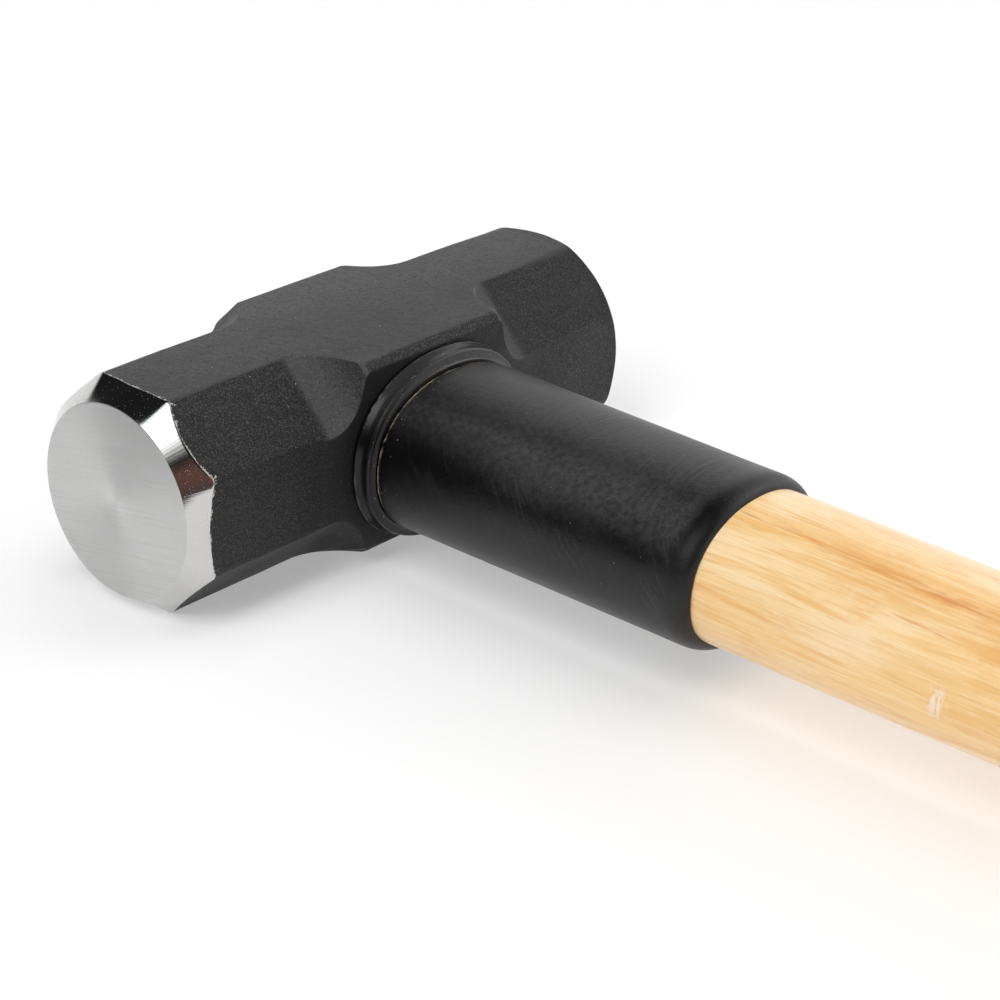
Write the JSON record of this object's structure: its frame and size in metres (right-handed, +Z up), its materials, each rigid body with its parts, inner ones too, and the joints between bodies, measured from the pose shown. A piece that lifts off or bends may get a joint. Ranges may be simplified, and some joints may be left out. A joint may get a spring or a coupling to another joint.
{
  "type": "sledgehammer",
  "caption": "Double-faced sledgehammer: octagonal forged head with turned faces, oval hickory handle, rubber collar ring and overstrike sleeve.",
  "frame": {"origin": "on the floor, at the middle of the head's lower side flat, straight below the middle of the eye", "axes": "+Z up, out of the head's upper side flat; X along the striking axis; the handle's grip points along -Y and the top of the head along +Y"},
  "size_m": [0.1614, 0.9148, 0.0565],
  "materials": {
    "head_coating": "satin",
    "hickory": "satin",
    "collar_rubber": "satin",
    "sleeve_rubber": "matte",
    "wedge_wood": "matte",
    "wedge_steel": "satin"
  },
  "bodies": {
    "root": {"hammer_head": "head_coating", "handle": "hickory", "collar_ring": "collar_rubber", "overstrike_sleeve": "sleeve_rubber", "wood_wedge": "wedge_wood", "steel_wedge_1": "wedge_steel", "steel_wedge_2": "wedge_steel"}
  },
  "joints": []
}
